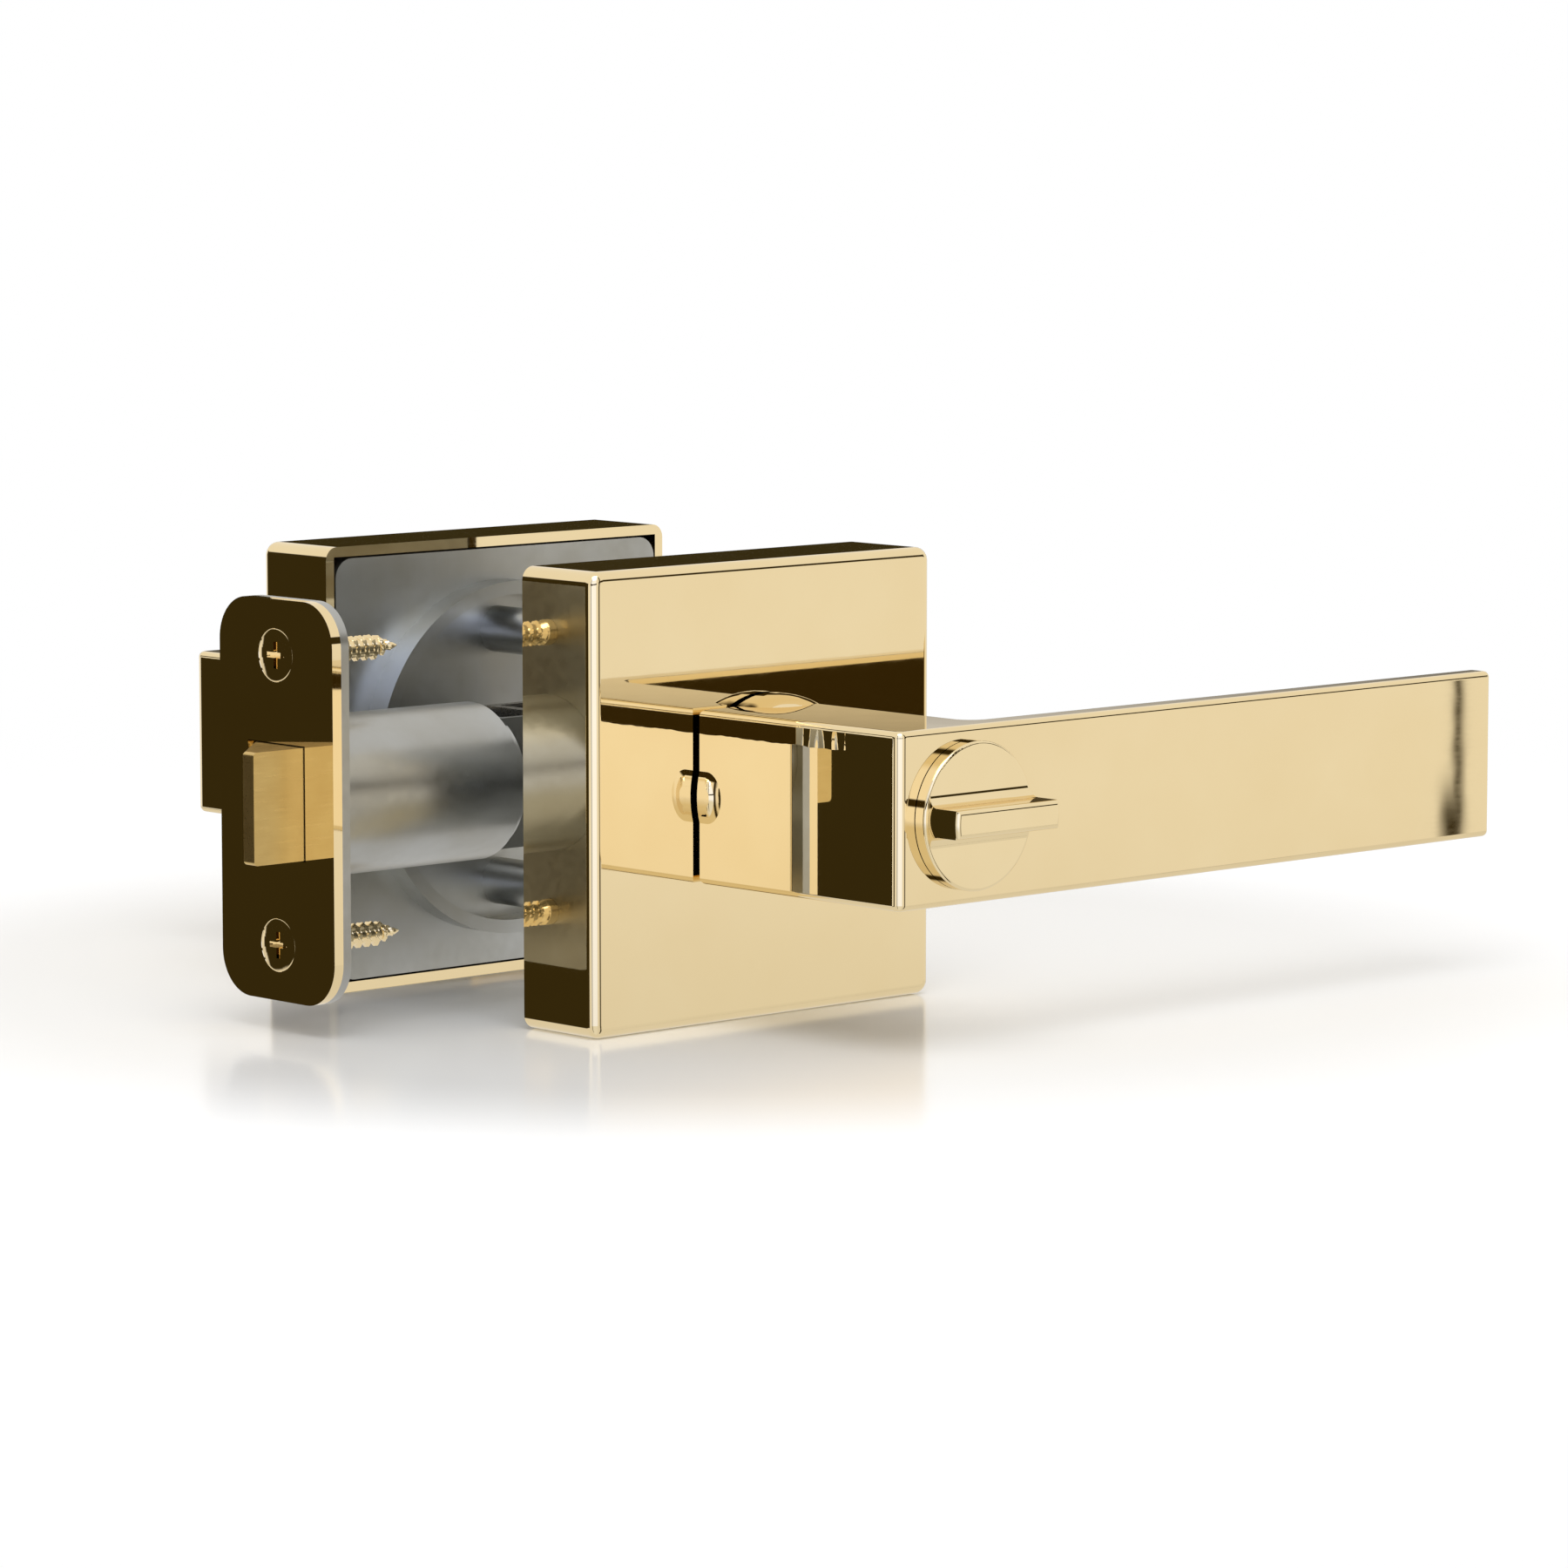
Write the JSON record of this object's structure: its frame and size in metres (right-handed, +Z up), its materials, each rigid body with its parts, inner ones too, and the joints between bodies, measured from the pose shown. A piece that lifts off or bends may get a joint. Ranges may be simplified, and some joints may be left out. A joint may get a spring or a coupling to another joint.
{
  "type": "privacy door lever set",
  "caption": "Polished brass privacy lever set for a door: square roses, flat right-angled levers, thumb turn inside, coin slot outside, sprung spindle drive and tubular latch.",
  "frame": {"origin": "on the levers' axis, at the inside face of the door", "axes": "+X along the levers, towards the hinges; +Y through the door to the outside; +Z up"},
  "size_m": [0.179, 0.1654, 0.066],
  "materials": {
    "polished_brass": "polished, clear lacquered",
    "cast_brass": "cast and tumbled",
    "zinc_plated_steel": "zinc plated, satin",
    "bright_steel": "drawn and machined",
    "spring_steel": "drawn wire",
    "nylon": "moulded natural nylon",
    "black_steel": "black oxide"
  },
  "bodies": {
    "door_fixed": {"interior_rose_cover": "polished_brass", "exterior_rose_cover": "polished_brass", "interior_mounting_plate": "zinc_plated_steel", "exterior_mounting_plate": "zinc_plated_steel", "interior_spring_housing": "zinc_plated_steel", "exterior_spring_housing": "zinc_plated_steel", "interior_housing_rivets": "zinc_plated_steel", "exterior_housing_rivets": "zinc_plated_steel", "interior_return_spring": "spring_steel", "exterior_return_spring": "spring_steel", "interior_hub_bush": "nylon", "exterior_hub_bush": "nylon", "interior_rose_screw": "black_steel", "exterior_rose_screw": "black_steel", "latch_faceplate": "polished_brass", "faceplate_screws": "polished_brass", "through_bolts": "zinc_plated_steel", "threaded_posts": "zinc_plated_steel", "latch_backplate": "zinc_plated_steel", "latch_tube": "zinc_plated_steel", "latch_frame": "zinc_plated_steel", "bolt_spring": "spring_steel"},
    "lever_pair": {"interior_lever": "polished_brass", "exterior_lever": "polished_brass", "spindle": "bright_steel", "interior_drive_hub": "bright_steel", "exterior_drive_hub": "bright_steel", "interior_lever_screw": "black_steel", "exterior_lever_screw": "black_steel", "latch_hub": "bright_steel"},
    "privacy_turn": {"turn_button": "polished_brass", "coin_turn": "polished_brass", "privacy_rod": "bright_steel", "interior_stem_ring": "nylon", "exterior_stem_ring": "nylon"},
    "latch_slide": {"latch_bolt": "cast_brass", "latch_retractor": "bright_steel", "bolt_pin": "bright_steel"}
  },
  "joints": [
    {"name": "lever_turn", "type": "hinge", "parent": "door_fixed", "child": "lever_pair", "pos_m": [0, 0, 0], "axis": [0, 1, 0], "range_deg": [0, 55], "stiffness_Nm_per_rad": 0.9, "springref_deg": -34.38, "deforming": ["interior_return_spring", "exterior_return_spring"]},
    {"name": "latch_draw", "type": "slide", "parent": "door_fixed", "child": "latch_slide", "axis": [1, 0, 0], "range_m": [0, 0.0088], "deforming": ["bolt_spring"]},
    {"name": "privacy_quarter_turn", "type": "hinge", "parent": "lever_pair", "child": "privacy_turn", "pos_m": [0, 0, 0], "axis": [0, 1, 0], "range_deg": [0, 90]}
  ],
  "couplings": [
    {"joint": "latch_draw", "follows": "lever_turn", "m_per_rad": 0.009061}
  ]
}
